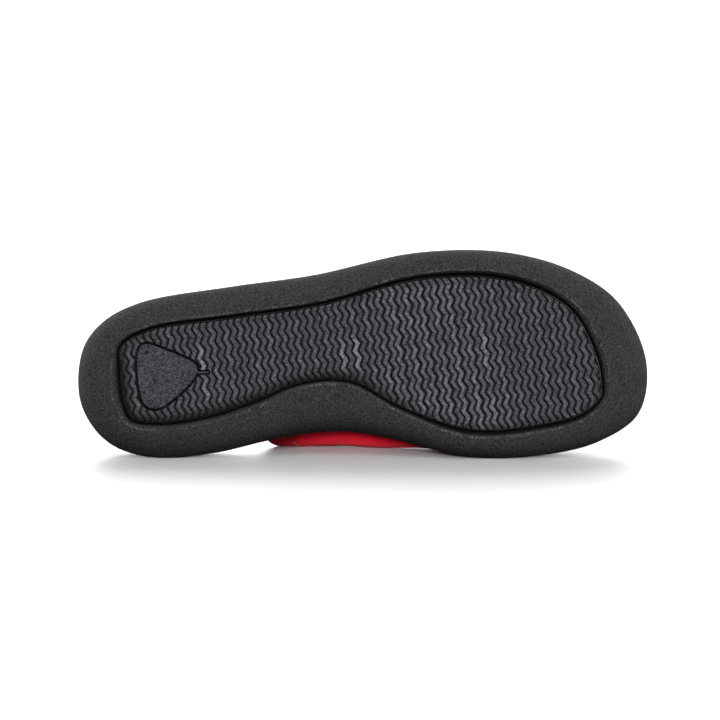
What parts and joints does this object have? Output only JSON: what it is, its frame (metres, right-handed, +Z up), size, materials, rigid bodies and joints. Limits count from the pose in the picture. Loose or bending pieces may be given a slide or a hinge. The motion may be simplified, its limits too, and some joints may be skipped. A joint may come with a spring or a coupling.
{
  "type": "mule slipper",
  "caption": "Right-foot mule slipper with a rounded black foam sole, zigzag tread, cupped insole and a closed red vamp open at the back, lying on its inner side.",
  "frame": {"origin": "centre of the shoe's box on the floor, with the shoe lying on its inner side", "axes": "+X from heel to toe along the floor, +Z up towards the outer side of the shoe, and the sole faces -Y"},
  "size_m": [0.2564, 0.0858, 0.0935],
  "materials": {
    "foam": "matte black moulded foam with a fine grain",
    "tread_rubber": "satin black moulded rubber",
    "footbed_cloth": "charcoal brushed cloth",
    "red_vamp": "bright red satin cloth"
  },
  "bodies": {
    "root": {"foam_sole": "foam", "tread_pad": "tread_rubber", "insole": "footbed_cloth", "upper": "red_vamp"}
  },
  "joints": []
}
